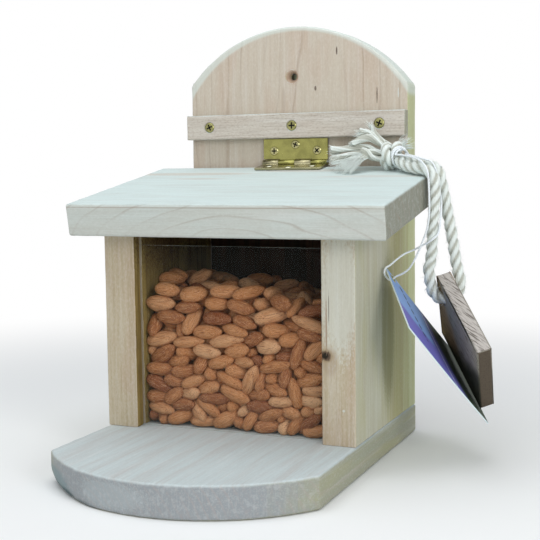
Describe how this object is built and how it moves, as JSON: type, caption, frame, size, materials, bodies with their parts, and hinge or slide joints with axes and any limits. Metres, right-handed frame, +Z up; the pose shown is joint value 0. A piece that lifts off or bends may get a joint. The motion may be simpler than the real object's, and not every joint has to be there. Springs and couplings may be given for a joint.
{
  "type": "squirrel feeder box",
  "caption": "Wooden squirrel feeder with a round landing ledge, clear front, hinged sloping lid, arched back board to hang it by, a fill of nuts, and a rope loop with a wooden tag and a card.",
  "frame": {"origin": "under the middle of the feeder, on the surface that its base stands on", "axes": "+Z up, -Y towards the landing ledge, +X towards the side that the rope and tags hang on"},
  "size_m": [0.2129, 0.195, 0.2325],
  "materials": {
    "pine": "sawn and lightly sanded, clear stain",
    "pine_cool": "sawn and lightly sanded, lit by cool daylight",
    "pine_olive": "sawn and lightly sanded",
    "brass": "polished plating",
    "yellow_zinc": "yellow zinc plating",
    "acrylic": "clear acrylic sheet",
    "nuts": "nut skins, satin",
    "cotton": "twisted cotton rope",
    "tag_wood": "raw weathered wood",
    "printed_card": "printed, satin"
  },
  "bodies": {
    "box": {"base_board": "pine_cool", "left_side_panel": "pine", "right_side_panel": "pine_olive", "back_board": "pine", "stop_batten": "pine", "nut_fill": "nuts", "hinge_wall_leaf": "brass", "hinge_pin": "brass", "batten_screw_1": "yellow_zinc", "batten_screw_2": "yellow_zinc", "batten_screw_3": "yellow_zinc", "hinge_wall_screw_1": "brass", "hinge_wall_screw_2": "brass", "hinge_wall_screw_3": "brass", "base_screw_1": "yellow_zinc", "base_screw_2": "yellow_zinc", "base_screw_3": "yellow_zinc", "base_screw_4": "yellow_zinc", "base_screw_5": "yellow_zinc", "base_screw_6": "yellow_zinc", "back_screw_1": "yellow_zinc", "back_screw_2": "yellow_zinc", "back_screw_3": "yellow_zinc", "back_screw_4": "yellow_zinc"},
    "lid": {"lid_board": "pine_cool", "hinge_lid_leaf": "brass", "hinge_lid_screw_1": "brass", "hinge_lid_screw_2": "brass", "hinge_lid_screw_3": "brass"},
    "window": {"window_pane": "acrylic"},
    "rope_set": {"rope_loop": "cotton", "rope_knot": "cotton", "rope_end_left": "cotton", "rope_end_top": "cotton", "rope_end_low": "cotton", "tag_string": "cotton"},
    "tag": {"wooden_tag": "tag_wood"},
    "card": {"card_tag": "printed_card"}
  },
  "joints": [
    {"name": "lid_hinge", "type": "hinge", "parent": "box", "child": "lid", "pos_m": [0, 0.08042, 0.15522], "axis": [-1, 0, 0], "range_deg": [0, 82]},
    {"name": "window_slide", "type": "slide", "parent": "box", "child": "window", "axis": [0, 0, 1], "range_m": [0, 0.0075]},
    {"name": "rope_lift", "type": "slide", "parent": "box", "child": "rope_set", "axis": [0.7071, 0, 0.7071], "range_m": [0, 0.144]},
    {"name": "tag_swing", "type": "hinge", "parent": "rope_set", "child": "tag", "pos_m": [0.09832, 0.04671, 0.08496], "axis": [0.8439, 0.4471, 0.2967], "range_deg": [-15, 0]},
    {"name": "card_swing", "type": "hinge", "parent": "rope_set", "child": "card", "pos_m": [0.07163, 0.03479, 0.09499], "axis": [0.8236, 0.1647, 0.5428], "range_deg": [-10, 10]}
  ],
  "couplings": [
    {"joint": "rope_lift", "follows": "lid_hinge", "m_per_rad": 0.1}
  ]
}
